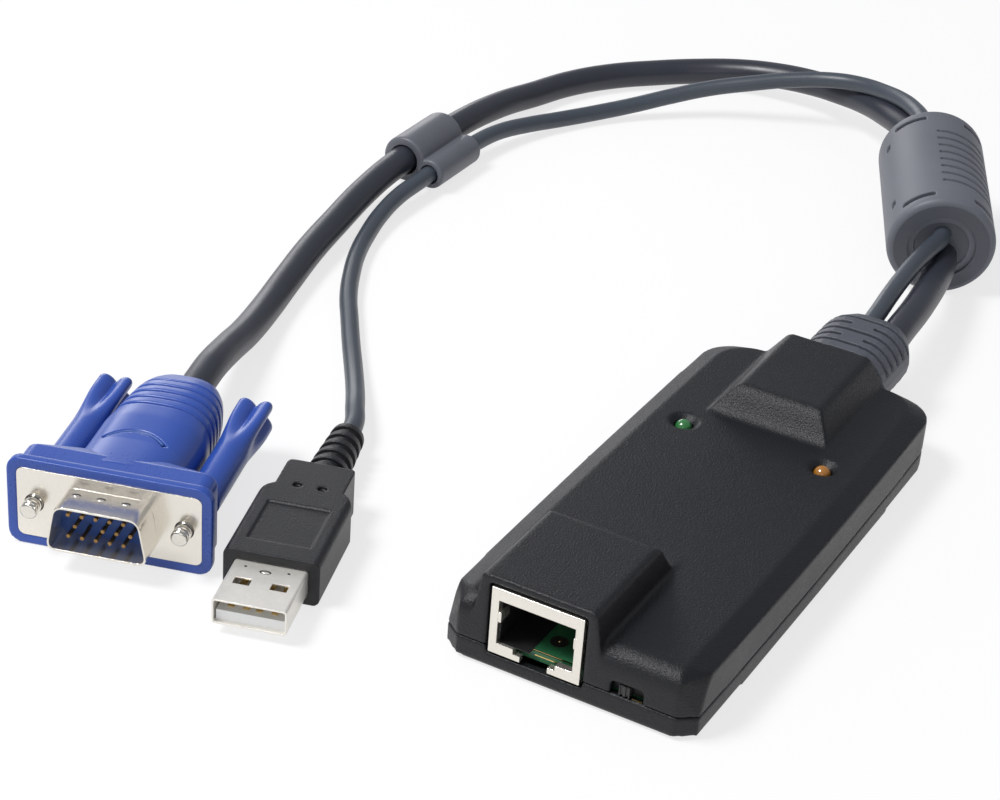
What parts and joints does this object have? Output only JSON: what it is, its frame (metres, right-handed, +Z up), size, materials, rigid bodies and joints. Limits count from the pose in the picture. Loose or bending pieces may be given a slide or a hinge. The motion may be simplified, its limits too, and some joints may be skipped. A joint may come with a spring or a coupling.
{
  "type": "kvm server interface module",
  "caption": "Charcoal server interface module with a network socket, status lamps, a slide switch, and a twin lead with a ferrite sleeve ending in a blue video plug and a dark USB plug",
  "frame": {"origin": "centre of the module's flat bottom face, on the plane that the module, the cords and the plugs lie on", "axes": "+Z up; +Y along the module, from its network socket to its cord exit; +X across it to the right, seen from the socket's end with +Z up"},
  "size_m": [0.1382, 0.247, 0.0245],
  "materials": {
    "housing_plastic": "fine sparked texture, near black",
    "screw_steel": "black coated steel",
    "board_laminate": "green solder mask over laminate",
    "bright_nickel": "bright nickel plate",
    "satin_nickel": "satin nickel plate",
    "insert_plastic": "black moulded insert",
    "contact_gold": "gold flash",
    "green_lens": "tinted clear lens",
    "amber_lens": "tinted clear lens",
    "chip_plastic": "black moulding compound",
    "ceramic_body": "small ceramic bodies",
    "header_plastic": "off-white nylon",
    "lead_jacket": "soft lead insulation",
    "slider_plastic": "black slider",
    "boot_rubber": "grey flexible moulding, fine grain",
    "overmould_rubber": "mid grey moulding",
    "clip_rubber": "mid grey moulding",
    "thick_cord_jacket": "dark grey jacket, slight sheen",
    "thin_cord_jacket": "blue-grey jacket, slight sheen",
    "ferrite_ceramic": "sintered ferrite",
    "blue_plastic": "satin royal blue",
    "dark_blue_plastic": "dark blue insulator",
    "plug_plastic": "dark charcoal, fine grain",
    "white_plastic": "white insulator"
  },
  "bodies": {
    "module": {"top_cover": "housing_plastic", "bottom_cover": "housing_plastic", "cover_screws": "screw_steel", "main_board": "board_laminate", "jack_shield": "bright_nickel", "jack_insert": "insert_plastic", "jack_contacts": "contact_gold", "link_led": "green_lens", "power_led": "amber_lens", "controller_chip": "chip_plastic", "video_chip": "chip_plastic", "memory_chip": "chip_plastic", "crystal": "bright_nickel", "board_parts": "ceramic_body", "vga_header": "header_plastic", "usb_header": "header_plastic", "vga_leads": "lead_jacket", "usb_leads": "lead_jacket", "switch_body": "insert_plastic", "strain_relief": "boot_rubber", "vga_cord": "thick_cord_jacket", "usb_cord": "thin_cord_jacket", "ferrite_core": "ferrite_ceramic", "ferrite_overmould": "overmould_rubber", "cord_clip": "clip_rubber", "vga_hood": "blue_plastic", "vga_shell": "bright_nickel", "vga_insulator": "dark_blue_plastic", "vga_pins": "contact_gold", "usb_overmould": "plug_plastic", "usb_shell": "satin_nickel", "usb_tongue": "white_plastic", "usb_contacts": "contact_gold"},
    "left_screw": {"left_jackscrew": "bright_nickel"},
    "left_grip": {"left_knob": "blue_plastic"},
    "right_screw": {"right_jackscrew": "bright_nickel"},
    "right_grip": {"right_knob": "blue_plastic"},
    "switch": {"switch_slider": "slider_plastic"}
  },
  "joints": [
    {"name": "left_screw_slide", "type": "slide", "parent": "module", "child": "left_screw", "axis": [-0.2874, 0.9578, 0], "range_m": [0, 0.004]},
    {"name": "left_screw_spin", "type": "hinge", "parent": "left_screw", "child": "left_grip", "pos_m": [-0.08933, -0.06167, 0.0081], "axis": [-0.2874, 0.9578, 0], "continuous": true},
    {"name": "right_screw_slide", "type": "slide", "parent": "module", "child": "right_screw", "axis": [-0.2874, 0.9578, 0], "range_m": [0, 0.004]},
    {"name": "right_screw_spin", "type": "hinge", "parent": "right_screw", "child": "right_grip", "pos_m": [-0.0654, -0.05449, 0.0081], "axis": [-0.2874, 0.9578, 0], "continuous": true},
    {"name": "mode_switch_slide", "type": "slide", "parent": "module", "child": "switch", "axis": [1, 0, 0], "range_m": [0, 0.002]}
  ]
}
